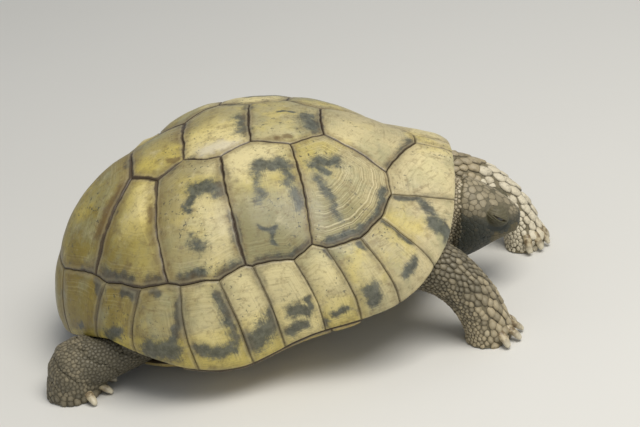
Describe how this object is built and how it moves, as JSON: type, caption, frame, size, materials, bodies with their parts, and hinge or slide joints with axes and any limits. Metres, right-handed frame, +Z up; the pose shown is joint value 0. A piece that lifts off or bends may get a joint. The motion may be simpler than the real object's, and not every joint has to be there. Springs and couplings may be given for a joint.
{
  "type": "tortoise",
  "caption": "Still life-size tortoise on all fours with its neck half out; high domed shell of separate plates, scaly legs and a short tail.",
  "frame": {"origin": "on the floor under the middle of the whole animal's box", "axes": "+X the way the animal faces, +Y to its left, +Z up; the feet's soles are on z = 0"},
  "size_m": [0.2708, 0.1766, 0.1126],
  "materials": {
    "plastron": "horn, worn satin",
    "carapace": "horn, satin, with growth rings",
    "eye": "wet, glossy",
    "head": "smooth and pebbled skin, dull",
    "skin": "scaly skin, dull",
    "beak": "horny beak, satin",
    "marginal": "horn, satin, with fine ridges",
    "trunk": "dull skin and bone inside the shell"
  },
  "bodies": {
    "root": {"abdominal_left": "plastron", "abdominal_right": "plastron", "anal_left": "plastron", "anal_right": "plastron", "costal_left_1": "carapace", "costal_left_2": "carapace", "costal_left_3": "carapace", "costal_left_4": "carapace", "costal_right_1": "carapace", "costal_right_2": "carapace", "costal_right_3": "carapace", "costal_right_4": "carapace", "eye_left": "eye", "eye_right": "eye", "femoral_left": "plastron", "femoral_right": "plastron", "gular_left": "plastron", "gular_right": "plastron", "head": "head", "humeral_left": "plastron", "humeral_right": "plastron", "leg_front_left": "skin", "leg_front_right": "skin", "leg_hind_left": "skin", "leg_hind_right": "skin", "lower_jaw": "beak", "marginal_left_1": "marginal", "marginal_left_10": "marginal", "marginal_left_11": "marginal", "marginal_left_2": "marginal", "marginal_left_3": "marginal", "marginal_left_4": "marginal", "marginal_left_5": "marginal", "marginal_left_6": "marginal", "marginal_left_7": "marginal", "marginal_left_8": "marginal", "marginal_left_9": "marginal", "marginal_right_1": "marginal", "marginal_right_10": "marginal", "marginal_right_11": "marginal", "marginal_right_2": "marginal", "marginal_right_3": "marginal", "marginal_right_4": "marginal", "marginal_right_5": "marginal", "marginal_right_6": "marginal", "marginal_right_7": "marginal", "marginal_right_8": "marginal", "marginal_right_9": "marginal", "neck": "skin", "nuchal": "marginal", "pectoral_left": "plastron", "pectoral_right": "plastron", "supracaudal": "marginal", "tail": "skin", "trunk": "trunk", "vertebral_1": "carapace", "vertebral_2": "carapace", "vertebral_3": "carapace", "vertebral_4": "carapace", "vertebral_5": "carapace"}
  },
  "joints": []
}
